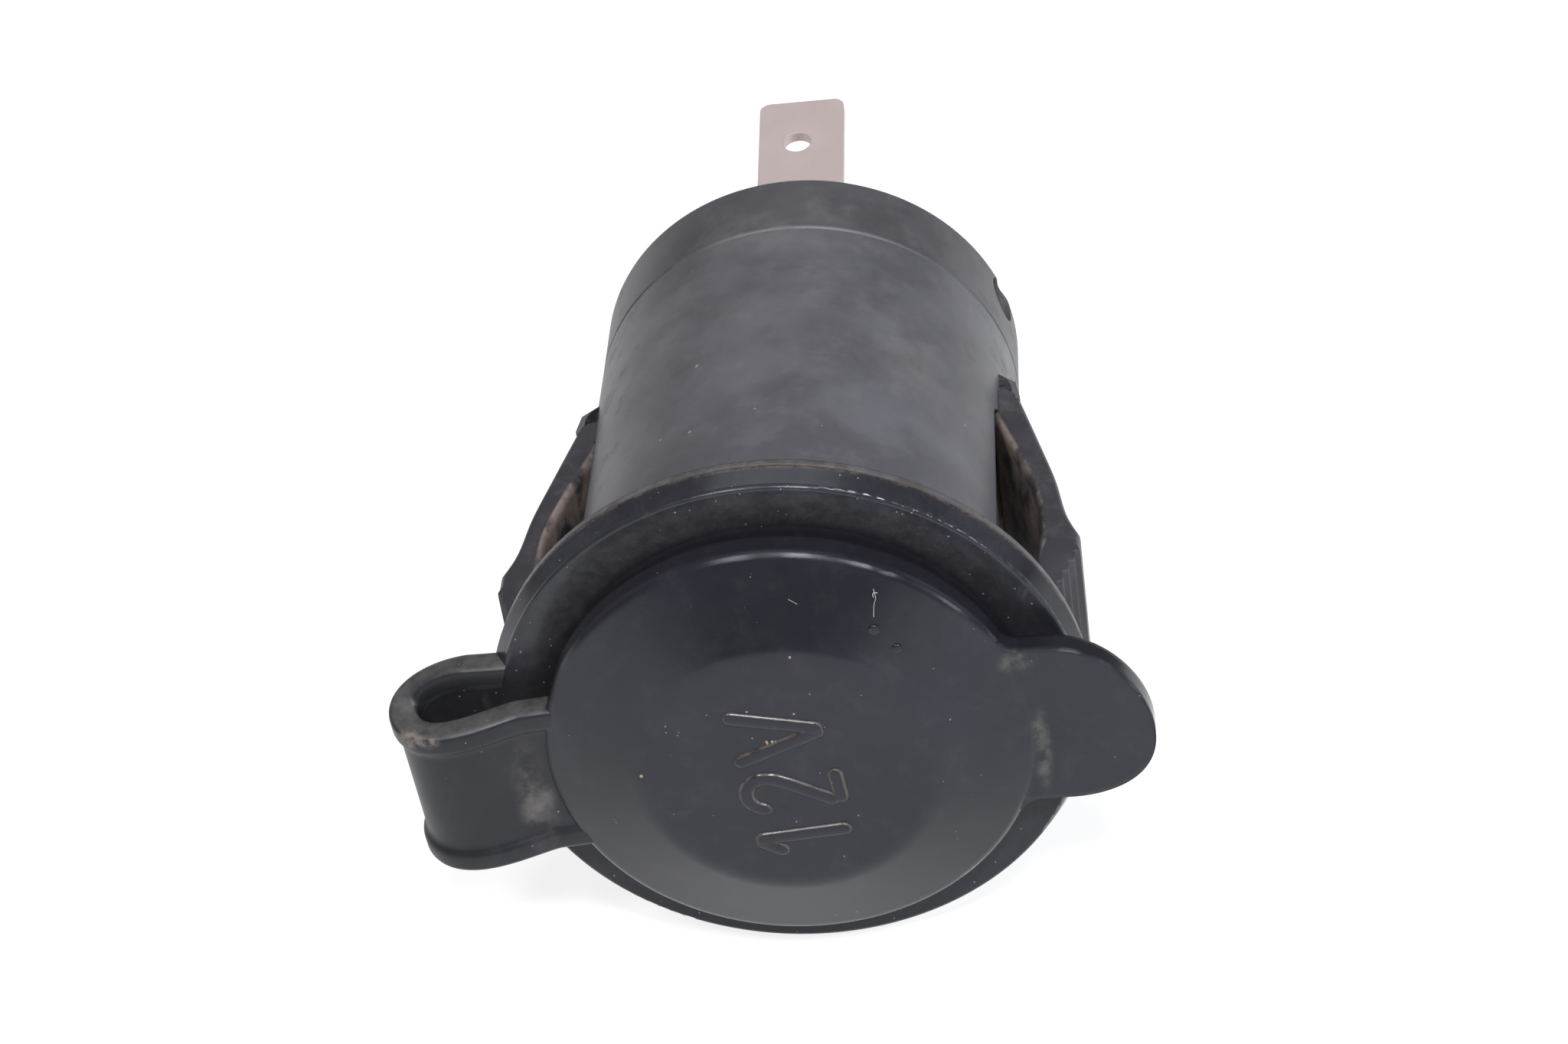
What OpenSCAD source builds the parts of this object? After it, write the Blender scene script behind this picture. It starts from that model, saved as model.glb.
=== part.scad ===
// Panel-mount 12 V power socket with a strapped rubber cap. All sizes are in millimetres.
// The barrel lies along Y: the mouth faces -Y, the terminals face +Y, and Z is up.
// The origin is on the barrel's axis, at the rear face of the flange, which seats on the panel.

/* [Panel and flange] */
// Step from the barrel out to the pilot collar, which fits a 34.9 mm hole with 0.15 mm to spare
pilot_step = 1.8; // [1.4:0.1:2.2]
// Depth of the pilot collar behind the flange
pilot_len = 1.6; // [1:0.1:1.8]
// Width of the flange plate outside the pilot collar
flange_w = 2.3; // [1.8:0.1:3]
// Thickness of the flange plate
plate_t = 0.5; // [0.4:0.1:1]

/* [Barrel] */
// Wall of the barrel round the contact shell, at the flange
barrel_wall = 4.35; // [4:0.05:5.2]
// Draft of the barrel on its radius, from the flange to the end cover's seam
barrel_draft = 0.2; // [0:0.05:0.5]
// Length from the flange's rear face to the end cover's rear face
barrel_len = 40.6; // [40:0.1:46]
// Length of the end cover that shows behind the seam
cover_len = 6.8; // [5:0.1:6.8]
// Wall of the end cover's rear plate
cover_t = 1.8; // [1.2:0.1:2.6]
// Radius of the end cover's rear edge
cover_round = 0.7; // [0.3:0.1:1.4]
// Gap between the end cover's spigot and the barrel, on the radius
spigot_gap = 0.05; // [0.02:0.01:0.2]
// How far the end cover's spigot reaches into the barrel
spigot_len = 2; // [1:0.1:2]
// Depth of the V groove at the end cover's seam
seam_groove = 0.2; // [0.05:0.05:0.4]
// Diameter of the thumb dimple in the end cover's side
dimple_d = 3.4; // [2:0.1:4]
// Depth of the thumb dimple
dimple_depth = 0.6; // [0.3:0.1:1]
// Angle of the thumb dimple above the +X side
dimple_angle = 17; // [0:1:40]

/* [Contact shell] */
// Inside diameter of the contact shell, which takes the plug
shell_bore_d = 21; // [20.9:0.05:21.4]
// Wall of the drawn contact shell
shell_t = 0.5; // [0.4:0.05:0.6]
// Depth of the shell's lip behind the flange's rear face
shell_front = 4.4; // [4.2:0.1:6]
// Room between the shell's bottom and the end cover's rear plate
back_room = 7.8; // [7.8:0.1:10]
// Width of the shell's turned-out lip
lip_w = 1.1; // [0.7:0.1:1.4]
// Radius of the shell's rolled mouth edge
lip_roll = 0.6; // [0.5:0.05:0.9]
// Outside radius of the corner at the shell's bottom
bottom_roll = 1.7; // [1:0.1:2.5]
// Diameter of the hole in the shell's bottom
bottom_hole_d = 6.4; // [5:0.1:8]
// Gap between the shell and the barrel's cavity, on the radius
shell_gap = 0.15; // [0.05:0.05:0.3]

/* [Centre contact] */
// Thickness of the front insulator's disc
front_disc_t = 0.5; // [0.4:0.1:0.7]
// Width of the shell's bottom left bare round the front insulator
front_disc_in = 5.3; // [4.2:0.1:5.8]
// Thickness of the rear insulator
rear_disc_t = 0.8; // [0.5:0.1:1.2]
// Distance of the rear insulator's edge from the bore's wall
rear_disc_in = 4.3; // [3.6:0.1:5.4]
// Diameter of the contact stud's shank
stud_d = 3.2; // [2.4:0.1:4]
// Diameter of the contact stud's front head
stud_head_d = 6.8; // [5:0.1:8]
// Height of the contact stud's front head
stud_head_t = 0.55; // [0.3:0.05:0.6]
// Diameter of the contact stud's staked tail
stud_tail_d = 5.2; // [4.6:0.1:6]
// Thickness of the staked tail
stud_tail_t = 0.6; // [0.4:0.1:1]
// Gap round the shank in the holes that it passes, on the radius
stud_gap = 0.1; // [0.05:0.05:0.25]
// Outside diameter of the split lock washer
washer_d = 6; // [5.6:0.1:7]
// Thickness of the split lock washer
washer_t = 0.6; // [0.4:0.1:0.8]
// Width of the lock washer's split
washer_split = 0.5; // [0.3:0.1:1]

/* [Blade terminals] */
// Width of each blade terminal
blade_w = 6.35; // [6.2:0.05:6.5]
// Thickness of each blade terminal
blade_t = 0.8; // [0.75:0.05:0.85]
// How far the blades stand behind the end cover, along their length
blade_out = 13.3; // [8:0.1:15]
// Length of the negative blade's foot along the shell
blade_foot = 7; // [4:0.1:9]
// Angle at which the negative blade is bent up behind the cover
blade_bend = 10; // [0:1:15]
// Radius of the blades' tip corners
blade_corner = 0.8; // [0.4:0.1:1.5]
// Diameter of the hole in each blade
blade_hole_d = 2.1; // [1.6:0.1:2.6]
// Distance of that hole from the blade's tip
blade_hole_in = 4.6; // [3.5:0.1:5]
// Distance of the negative blade's hole from its middle line
blade_hole_side = 0.3; // [0:0.05:0.5]
// Sideways distance of the negative blade from the barrel's axis
blade_side = 0.4; // [0:0.1:1]
// Gap between a blade and its slot in the cover, on each side
blade_gap = 0.12; // [0.05:0.01:0.2]
// Distance of the positive blade below the axis
positive_drop = 4.6; // [4.2:0.1:6]

/* [Snap wings] */
// Width of each snap wing along Z
wing_w = 11.2; // [9:0.1:12]
// Depth of the wings' hinge line under the barrel's surface
hinge_in = 1.1; // [0.9:0.05:1.2]
// Distance of the wings' hinge line ahead of the end cover's seam
hinge_lead = 9.2; // [8.5:0.1:10.5]
// Radius of the knuckle at each wing's root
knuckle_r = 0.9; // [0.8:0.05:1]
// Gap round the knuckle
knuckle_gap = 0.12; // [0.05:0.01:0.2]
// Thickness of each wing's leaf
leaf_t = 1.9; // [1.4:0.1:2]
// Height of the wings' crests over the barrel
crest_out = 4; // [3.6:0.1:4.3]
// Depth of the crest behind the flange's rear face, at its front edge
crest_y = 7.4; // [6.5:0.1:8]
// Number of gripping steps on each wing's ramp
step_count = 5; // [3:1:7]
// Distance between the wing tips and the flange's rear face
tip_y = 2.2; // [2:0.1:3]
// Height of the wing tips over the barrel
tip_out = 2; // [1.8:0.1:2.5]
// Side gap between a wing and its pocket in the barrel
pocket_gap = 0.7; // [0.3:0.1:1]
// Wall left between a pocket's floor and the shell's cavity
floor_wall = 0.95; // [0.75:0.05:1.15]
// Radius of the pockets' corners
pocket_round = 1.2; // [0.5:0.1:2]

/* [Rubber bezel] */
// How far the bezel stands out past the flange plate, on the radius
bezel_over = 0.1; // [0:0.05:0.5]
// Height of the bezel's rim in front of the flange's rear face
bezel_h = 2.25; // [2:0.05:2.7]
// Radius of the rim's outer edge
rim_round = 0.3; // [0.2:0.05:0.6]
// Draft of the bezel's outer wall, on its radius
rim_draft = 0.55; // [0.2:0.05:0.8]
// Wall of the neck that the bezel grips
neck_wall = 1.6; // [1.2:0.1:2.2]
// Height of the neck in front of the plate
neck_h = 0.9; // [0.6:0.1:1]
// Height of the bezel's dished face over the plate
dish_h = 1; // [0.95:0.05:1.2]
// Width of the sloped part of the bezel's face, inside the rim
dish_w = 3.35; // [2:0.05:4.2]
// Size of the chamfer that forms the seam between bezel and plate
bezel_chamfer = 0.35; // [0.1:0.05:0.5]

/* [Mouth and cap] */
// Gap round the shell's lip in the mouth, on the radius
lip_gap = 0.1; // [0.05:0.05:0.3]
// How far the cap's disc reaches past the mouth, on the radius
cap_over = 3.75; // [3:0.05:4.2]
// Thickness of the cap's disc at its rim
cap_t = 1.95; // [1.6:0.05:2.1]
// Distance of the cap's rim from the flange's rear face
cap_front = 5; // [4.9:0.1:5.6]
// Radius of the cap's front edge
cap_round = 0.6; // [0.3:0.05:0.9]
// Height of the cap's flat crown over its rim
crown_h = 2.4; // [1.5:0.1:3]
// Distance of the crown's flat from the cap's edge
crown_in = 7; // [5.5:0.1:8]
// Radius of the round edge between the crown's flat and its slope
crown_round = 3; // [2:0.1:3.4]
// How far the cap's plug reaches behind the flange's rear face
plug_in = 3.5; // [2:0.1:3.5]
// Gap between the plug's root and the mouth, on the radius
plug_gap = 0.2; // [0.15:0.05:0.4]
// Taper of the plug on its radius, over its length
plug_taper = 0.6; // [0.55:0.05:1]
// Wall of the hollow plug
plug_wall = 1.7; // [1:0.1:2.4]
// Radius of the plug's end edges
plug_round = 0.4; // [0.2:0.05:0.6]
// Angle at which the cap sits turned in the mouth
cap_turn = 5; // [0:0.5:8]
// Radius of the pull tab's round end
tab_r = 6.25; // [5:0.05:8]
// Distance of that round end's centre outside the cap's edge
tab_out = 1.35; // [0:0.05:3]
// Angle by which the pull tab points below the strap's line
tab_angle = 3.5; // [0:0.5:8]
// Thickness of the pull tab
tab_t = 1.5; // [1:0.1:1.7]
// How far the pull tab's tip curls forward
tab_curl = 1.5; // [0.5:0.1:3]

/* [Strap] */
// Diameter of the beads along the strap's edges
bead_d = 1.9; // [1.6:0.1:1.9]
// Distance between the centres of the two beads
bead_span = 9.8; // [8:0.1:10.4]
// Thickness of the strap's web between the beads
web_t = 1.2; // [0.8:0.1:1.4]
// Distance of the strap's start from the bezel's wall
strap_stub = 0.9; // [0.8:0.1:1.5]
// Height of the strap's middle over the axis, where it leaves the bezel
strap_rise = 0.6; // [0:0.1:1]
// How far the strap's loop is drawn out beyond its stub on the bezel
loop_out = 5.5; // [5:0.1:9]
// How far the loop's front run is drawn ahead of the cap's edge
loop_bulge = 3.75; // [2:0.05:5]
// How far the loop's rear run is drawn behind its root
loop_back = 0.95; // [0:0.05:1]

/* [Hidden] */
$fn = 96;
EPS = 0.01;
REACH = 30;
PLASTIC = [0.30, 0.30, 0.32];
COVER = [0.26, 0.26, 0.28];
RUBBER = [0.16, 0.16, 0.18];
PLATED = [0.78, 0.76, 0.75];
BRASS = [0.80, 0.66, 0.36];
BOARD = [0.55, 0.38, 0.24];

// Contact shell and the cavity round it
bore_r = shell_bore_d / 2;
shell_r = bore_r + shell_t;
cavity_r = shell_r + shell_gap;
shell_rear = barrel_len - cover_t - back_room;
lip_r = shell_r + lip_w;
mouth_r = lip_r + lip_gap;

// Barrel, end cover and flange
barrel_r = cavity_r + barrel_wall;
cover_r = barrel_r - barrel_draft;
seam_y = barrel_len - cover_len;
pilot_r = barrel_r + pilot_step;
plate_r = pilot_r + flange_w;

// Stack on the shell's bottom, from front to back
stack_front = shell_rear - shell_t - front_disc_t;
foot_y = shell_rear + rear_disc_t;
washer_y = foot_y + blade_t;
tail_y = washer_y + washer_t;
stud_hole_r = stud_d / 2 + stud_gap;
front_disc_r = bore_r - front_disc_in;
rear_disc_r = bore_r - rear_disc_in;

// Blades
strip_z = shell_r;
channel_h = strip_z + blade_t + blade_gap;
spigot_in_r = sqrt(pow(channel_h, 2) + pow(blade_side + blade_w / 2 + blade_gap, 2)) + 0.05;
spigot_r = spigot_in_r + 0.85;
rib_in_r = rear_disc_r + 1.8;
rib_out_r = bore_r - 0.9;

// Wings: points of the leaf's outer line, from its root to the crest
hinge_x = barrel_r - hinge_in;
hinge_y = seam_y - hinge_lead;
crest_x = barrel_r + crest_out;
tip_x = barrel_r + tip_out;
root_out_x = hinge_x + knuckle_r + 0.45;
wing_run = hinge_y - crest_y;
leaf_out = [
    [hinge_x + 0.4, hinge_y - 0.1],
    [root_out_x, hinge_y - 0.1],
    [root_out_x + 1.4, hinge_y - 0.33 * wing_run],
    [root_out_x + 2.3, hinge_y - 0.56 * wing_run],
    [root_out_x + 2.9, hinge_y - 0.78 * wing_run],
    [crest_x, crest_y + 1.2]
];
step_x = (crest_x - tip_x) / step_count;
step_y = (crest_y - tip_y) / step_count;
ramp = [for (i = [0:step_count - 1]) each [
    [crest_x - i * step_x, crest_y - i * step_y],
    [crest_x - (i + 0.15) * step_x, crest_y - (i + 1) * step_y]
]];
heel_x = leaf_out[4][0] - leaf_t;
leaf_in = [
    [heel_x + 0.5, tip_y],
    [heel_x, tip_y + 1.9],
    [heel_x + 0.1, hinge_y - 0.82 * wing_run],
    [heel_x - 0.1, hinge_y - 0.66 * wing_run],
    [heel_x - 0.95, hinge_y - 0.46 * wing_run],
    [root_out_x - leaf_t + 0.1, hinge_y - 0.12 * wing_run],
    [hinge_x - knuckle_r + 0.1, hinge_y - 0.1]
];
boss_y = hinge_y + 3.3;
pocket_floor = cavity_r + floor_wall;
pocket_front = pilot_len + 0.3;
pocket_rear = hinge_y - 1.5;
pocket_half = wing_w / 2 + pocket_gap;

// Bezel and neck
bezel_r = plate_r + bezel_over;
neck_r = mouth_r + neck_wall;
rim_x = bezel_r - rim_draft - rim_round;
rim_y = -bezel_h + rim_round;

// Cap: its slope is tangent to the round front edge and to the crown's round edge
cap_r = mouth_r + cap_over;
cap_rear = -cap_front + cap_t;
crown_y = -cap_front - crown_h;
edge_centre = [cap_r - cap_round, -cap_front + cap_round];
crown_centre = [cap_r - crown_in, crown_y + crown_round];
crown_span = edge_centre - crown_centre;
crown_tilt = atan2(crown_span[1], crown_span[0]) + asin((crown_round - cap_round) / norm(crown_span));
crown_normal = [sin(crown_tilt), -cos(crown_tilt)];
plug_root_r = mouth_r - plug_gap;
plug_tip_r = plug_root_r - plug_taper;

// Strap: the loop's centre line runs from the bezel's stub to the cap's stub
bead_r = bead_d / 2;
strap_mid_y = -cap_front + cap_t / 2;
bezel_mid_y = -plate_t - bead_r - 0.1;
strap_start_x = -bezel_r - strap_stub;
strap_end_x = -cap_r - 0.75;
loop_reach = strap_start_x - loop_out;
lean = sin(cap_turn);
loop_line = [
    [strap_start_x, bezel_mid_y, strap_rise],
    [strap_start_x - 0.7, bezel_mid_y, strap_rise],
    [loop_reach, bezel_mid_y + loop_back, loop_reach * lean / 3],
    [loop_reach, bezel_mid_y - 0.15, loop_reach * lean],
    [loop_reach + 0.95, strap_mid_y - 0.7, loop_reach * lean],
    [loop_reach + 1.65, strap_mid_y - loop_bulge, loop_reach * lean],
    [strap_end_x - 0.8, strap_mid_y, (strap_end_x - 0.8) * lean],
    [strap_end_x, strap_mid_y, strap_end_x * lean]
];
RINGS = 32;
BEAD_STEPS = 8;
web_angle = asin(web_t / bead_d);

// A body of revolution about the barrel's axis: its outline is drawn as [radius, y]
module turned() {
    rotate([-90, 0, 0]) rotate_extrude() children();
}

// A box in the outline's plane, from two opposite corners
module band(r0, r1, y0, y1) {
    translate([r0, y0]) square([r1 - r0, y1 - y0]);
}

// A quarter of a flat ring round a centre, open towards the signs given
module quarter(centre, r_out, r_in, sx, sy) {
    translate(centre) intersection() {
        difference() {
            circle(r = r_out);
            circle(r = r_in);
        }
        translate([sx < 0 ? -r_out : 0, sy < 0 ? -r_out : 0]) square(r_out);
    }
}

// A rectangle with round corners, centred
module round_rect(w, h, r) {
    square([w - 2 * r, h], center = true);
    square([w, h - 2 * r], center = true);
    for (x = [-1, 1], y = [-1, 1])
        translate([x * (w / 2 - r), y * (h / 2 - r)]) circle(r = r);
}

// Extrudes an outline drawn in X and Z along Y
module along_y(y0, y1) {
    translate([0, y1, 0]) rotate([90, 0, 0]) linear_extrude(y1 - y0) children();
}

// Extrudes an outline drawn in X and Y along Z, centred
module along_z(w) {
    translate([0, 0, -w / 2]) linear_extrude(w) children();
}

// Repeats what is drawn on the +X side on the -X side too
module both_sides() {
    children();
    mirror([1, 0, 0]) children();
}

// Housing: flange plate, neck, pilot collar and barrel in one moulding
module housing_outline() {
    difference() {
        union() {
            band(0, plate_r, -plate_t, 0);
            band(0, neck_r, -plate_t - neck_h, -plate_t);
            band(0, pilot_r, 0, pilot_len);
            polygon([
                [0, 0], [barrel_r, 0], [cover_r, seam_y - seam_groove],
                [cover_r - seam_groove, seam_y], [0, seam_y]
            ]);
        }
        band(-EPS, mouth_r, -REACH, shell_front + shell_t);
        band(-EPS, cavity_r, 0, barrel_len);
        band(-EPS, spigot_r + spigot_gap, seam_y - spigot_len - 0.2, barrel_len);
    }
}

module wing_pocket() {
    span = pocket_rear - pocket_front;
    translate([pocket_floor, (pocket_front + pocket_rear) / 2, 0])
        rotate([90, 0, 90])
            linear_extrude(REACH) round_rect(span, 2 * pocket_half, pocket_round);
}

// Boss on the barrel that carries a wing's root
module wing_boss() {
    along_z(wing_w) difference() {
        polygon([
            [pocket_floor + 0.4, hinge_y], [root_out_x, hinge_y],
            [root_out_x - 0.3, hinge_y + 1.8], [root_out_x - 1.8, boss_y],
            [pocket_floor + 0.4, boss_y]
        ]);
        translate([hinge_x, hinge_y]) circle(r = knuckle_r + knuckle_gap);
    }
}

// Clears the knuckle's seat and the leaf's root out of the barrel's own wall
module knuckle_seat() {
    along_z(wing_w + 0.3) {
        translate([hinge_x, hinge_y]) circle(r = knuckle_r + knuckle_gap);
        translate([pocket_floor + 0.4, pocket_rear - pocket_round])
            square([REACH, hinge_y - pocket_rear + pocket_round]);
    }
}

// Channel in the barrel's cavity for the negative blade's foot
module strip_channel() {
    foot_front = shell_rear - blade_foot - 0.4;
    translate([blade_side - blade_w / 2 - blade_gap, foot_front, 0])
        cube([blade_w + 2 * blade_gap, REACH, channel_h]);
}

module housing() {
    color(PLASTIC) difference() {
        union() {
            turned() housing_outline();
            both_sides() wing_boss();
        }
        both_sides() wing_pocket();
        both_sides() knuckle_seat();
        strip_channel();
    }
}

// Snap wing on the +X side: knuckle, leaf, crest and stepped ramp
module wing() {
    along_z(wing_w) polygon(concat(leaf_out, ramp, [[tip_x, tip_y]], leaf_in));
    along_z(wing_w) translate([hinge_x, hinge_y]) circle(r = knuckle_r);
}

module wing_right() {
    color(PLASTIC) wing();
}

module wing_left() {
    color(PLASTIC) mirror([1, 0, 0]) wing();
}

// End cover: rear plate, wall and spigot, with a rib that seats the contact shell
module rear_cover() {
    color(COVER) difference() {
        turned() {
            difference() {
                union() {
                    band(0, cover_r - cover_round, seam_y, barrel_len);
                    polygon([
                        [0, seam_y], [cover_r - seam_groove, seam_y], [cover_r, seam_y + seam_groove],
                        [cover_r, barrel_len - cover_round], [0, barrel_len - cover_round]
                    ]);
                    translate([cover_r - cover_round, barrel_len - cover_round])
                        circle(r = cover_round);
                    band(0, spigot_r, seam_y - spigot_len, seam_y);
                }
                band(-EPS, spigot_in_r, -REACH, barrel_len - cover_t);
            }
            band(rib_in_r, rib_out_r, shell_rear, barrel_len - cover_t + EPS);
        }
        blade_slot(blade_side, strip_z + blade_t / 2);
        blade_slot(0, -positive_drop);
        rotate([0, -dimple_angle, 0])
            translate([cover_r - dimple_depth, barrel_len - cover_round - dimple_d / 2 + 0.6, 0])
                rotate([0, 90, 0]) cylinder(d = dimple_d, h = REACH);
    }
}

module blade_slot(x, z) {
    along_y(barrel_len - cover_t - EPS, barrel_len + EPS)
        translate([x, z]) square([blade_w + 2 * blade_gap, blade_t + 2 * blade_gap], center = true);
}

// Drawn contact shell with a rolled mouth, a lip and a pierced bottom
module contact_shell() {
    roll_y = shell_front + lip_roll;
    low = shell_rear - bottom_roll;
    inner = shell_r - bottom_roll;
    color(PLATED) turned() {
        band(bore_r, shell_r, roll_y, low);
        quarter([bore_r + lip_roll, roll_y], lip_roll, lip_roll - shell_t, -1, -1);
        band(bore_r + lip_roll, lip_r, shell_front, shell_front + shell_t);
        quarter([inner, low], bottom_roll, bottom_roll - shell_t, 1, 1);
        band(bottom_hole_d / 2, inner, shell_rear - shell_t, shell_rear);
    }
}

// Shouldered insulator between the contact stud's head and the shell's bottom
module front_insulator() {
    color(BOARD) turned() {
        band(stud_hole_r, front_disc_r, stack_front, shell_rear - shell_t);
        band(stud_hole_r, bottom_hole_d / 2 - stud_gap, shell_rear - shell_t, shell_rear);
    }
}

module rear_insulator() {
    color(BOARD) turned() band(stud_hole_r, rear_disc_r, shell_rear, foot_y);
}

// Centre contact: a stud with a low front head, staked over the lock washer
module contact_stud() {
    edge = stud_head_t * 0.6;
    color(BRASS) turned() {
        band(0, stud_d / 2, stack_front, tail_y + stud_tail_t);
        band(0, stud_head_d / 2 - edge, stack_front - stud_head_t, stack_front);
        band(0, stud_head_d / 2, stack_front - stud_head_t + edge, stack_front);
        quarter([stud_head_d / 2 - edge, stack_front - stud_head_t + edge], edge, 0, 1, -1);
        polygon([
            [0, tail_y], [stud_tail_d / 2, tail_y], [stud_tail_d / 2 - 0.4, tail_y + stud_tail_t],
            [0, tail_y + stud_tail_t]
        ]);
    }
}

module lock_washer() {
    color(PLATED) difference() {
        turned() band(stud_hole_r, washer_d / 2, washer_y, tail_y);
        translate([0, washer_y - EPS, -washer_split / 2])
            cube([REACH, washer_t + 2 * EPS, washer_split]);
    }
}

// Flat blade drawn in X and Y from y = 0 to its tip, with round corners and its hole
module blade_plan(length, hole_side = 0) {
    difference() {
        union() {
            translate([-blade_w / 2, 0]) square([blade_w, length - blade_corner]);
            translate([-blade_w / 2 + blade_corner, 0]) square([blade_w - 2 * blade_corner, length]);
            for (s = [-1, 1])
                translate([s * (blade_w / 2 - blade_corner), length - blade_corner])
                    circle(r = blade_corner);
        }
        translate([-hole_side, length - blade_hole_in]) circle(d = blade_hole_d);
    }
}

// Positive blade: a foot under the lock washer, folded back through the cover
module positive_terminal() {
    blade_z = -positive_drop - blade_t / 2;
    foot_up = washer_d / 2 + 0.4;
    color(PLATED) {
        difference() {
            translate([-blade_w / 2, foot_y, blade_z]) cube([blade_w, blade_t, foot_up - blade_z]);
            rotate([-90, 0, 0]) cylinder(r = stud_hole_r, h = REACH + barrel_len);
        }
        translate([0, foot_y, blade_z])
            linear_extrude(blade_t) blade_plan(barrel_len - foot_y + blade_out - 2.9);
    }
}

// Negative blade: a strip on the shell's side, bent up a little behind the cover
module negative_terminal() {
    foot_front = shell_rear - blade_foot;
    bend_y = barrel_len + 0.6;
    color(PLATED) translate([blade_side, 0, strip_z]) {
        translate([-blade_w / 2, foot_front, 0]) cube([blade_w, bend_y - foot_front, blade_t]);
        translate([0, bend_y, 0])
            rotate([blade_bend, 0, 0])
                linear_extrude(blade_t) blade_plan(blade_out - 0.6, blade_hole_side);
    }
}

// Rubber bezel ring with its round-edged rim, its dished face and the stub for the strap
module bezel() {
    face_y = -plate_t - dish_h;
    color(RUBBER) {
        turned() difference() {
            union() {
                polygon([
                    [neck_r, -plate_t], [bezel_r - bezel_chamfer, -plate_t],
                    [bezel_r, -plate_t - bezel_chamfer], [rim_x + rim_round, rim_y], [rim_x, rim_y],
                    [rim_x, -bezel_h], [rim_x - dish_w, face_y], [neck_r, face_y]
                ]);
                quarter([rim_x, rim_y], rim_round, 0, 1, -1);
            }
            band(-EPS, neck_r, -REACH, REACH);
        }
        difference() {
            translate([strap_start_x, bezel_mid_y, strap_rise]) strap_bar(strap_stub + 4);
            rotate([-90, 0, 0]) translate([0, 0, -REACH]) cylinder(r = bezel_r - 0.7, h = 2 * REACH);
        }
    }
}

// A short straight piece of the strap's section, drawn from the YZ plane along +X
module strap_bar(length) {
    rotate([90, 0, 90]) linear_extrude(length) strap_section();
}

module strap_section() {
    square([web_t, bead_span], center = true);
    for (s = [-1, 1]) translate([0, s * bead_span / 2]) circle(r = bead_r);
}

// Cap: disc with a raised crown, pull tab, hollow plug and the stub for the strap
module sealing_cap() {
    color(RUBBER) rotate([0, -cap_turn, 0]) {
        turned() difference() {
            union() {
                band(0, cap_r, edge_centre[1], cap_rear);
                translate(edge_centre) circle(r = cap_round);
                polygon([
                    [0, cap_rear], edge_centre, edge_centre + cap_round * crown_normal,
                    crown_centre + crown_round * crown_normal, crown_centre,
                    [crown_centre[0], crown_y], [0, crown_y]
                ]);
                intersection() {
                    translate(crown_centre) circle(r = crown_round);
                    band(0, cap_r, crown_y, crown_centre[1]);
                }
                polygon([
                    [0, cap_rear], [plug_root_r, cap_rear],
                    [plug_tip_r, plug_in - plug_round], [0, plug_in - plug_round]
                ]);
                band(0, plug_tip_r - plug_round, plug_in - plug_round - EPS, plug_in);
                translate([plug_tip_r - plug_round, plug_in - plug_round]) circle(r = plug_round);
            }
            band(-EPS, plug_tip_r - plug_wall, crown_y + cap_t, REACH);
        }
        rotate([0, tab_angle, 0]) pull_tab();
        difference() {
            translate([strap_end_x, strap_mid_y, 0]) strap_bar(3);
            rotate([-90, 0, 0]) translate([0, 0, -REACH]) cylinder(r = cap_r - 1, h = 2 * REACH);
        }
    }
}

// Pull tab: a plate with a round end that curls forward along an arc
module pull_tab() {
    rear = strap_mid_y + tab_t / 2;
    centre_x = cap_r + tab_out;
    run = tab_out + tab_r;
    arc_r = (pow(run, 2) + pow(tab_curl, 2)) / (2 * tab_curl);
    intersection() {
        along_y(rear - REACH, rear + 1) difference() {
            union() {
                translate([centre_x, 0]) circle(r = tab_r);
                translate([0, -tab_r]) square([centre_x, 2 * tab_r]);
            }
            circle(r = cap_r - 1);
        }
        along_z(3 * tab_r) {
            translate([cap_r - 4, rear - tab_t]) square([4 + EPS, tab_t]);
            translate([cap_r, rear - arc_r]) intersection() {
                difference() {
                    circle(r = arc_r);
                    circle(r = arc_r - tab_t);
                }
                square(arc_r);
            }
        }
    }
}

// Strap: the beaded section swept round the loop, turned a little from end to end
function bezier(p, t) = len(p) == 1 ? p[0]
    : bezier([for (i = [0:len(p) - 2]) p[i] * (1 - t) + p[i + 1] * t], t);
function steps_of(p) = [for (i = [0:len(p) - 2]) p[i + 1] - p[i]];
function unit(v) = v / norm(v);
bead_arc = 180 - web_angle;
section = [for (s = [1, -1], k = [0:BEAD_STEPS])
    let (a = -bead_arc + 2 * bead_arc * k / BEAD_STEPS)
    [s * (bead_span / 2 + bead_r * cos(a)), s * bead_r * sin(a)]];
strap_end = [strap_end_x * cos(cap_turn), strap_mid_y, strap_end_x * sin(cap_turn)];

function ring_at(t) =
    let (
        c = bezier(loop_line, t),
        run = bezier(steps_of(loop_line), t),
        d = unit([run[0], run[1]]),
        shift = t * (strap_end[0] - strap_end_x),
        turn = cap_turn * t
    )
    [for (q = section) [
        c[0] + shift - q[1] * d[1] - q[0] * sin(turn),
        c[1] + q[1] * d[0],
        c[2] + q[0] * cos(turn)
    ]];

module cap_strap() {
    n = len(section);
    points = [for (k = [0:RINGS]) each ring_at(k / RINGS)];
    sides = [for (k = [0:RINGS - 1], i = [0:n - 1]) each [
        [k * n + i, (k + 1) * n + i, k * n + (i + 1) % n],
        [k * n + (i + 1) % n, (k + 1) * n + i, (k + 1) * n + (i + 1) % n]
    ]];
    ends = [[for (i = [0:n - 1]) i], [for (i = [n - 1:-1:0]) RINGS * n + i]];
    color(RUBBER) polyhedron(points = points, faces = concat(sides, ends));
}

housing();
wing_left();
wing_right();
rear_cover();
bezel();
cap_strap();
sealing_cap();
contact_shell();
front_insulator();
rear_insulator();
contact_stud();
lock_washer();
positive_terminal();
negative_terminal();
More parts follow.
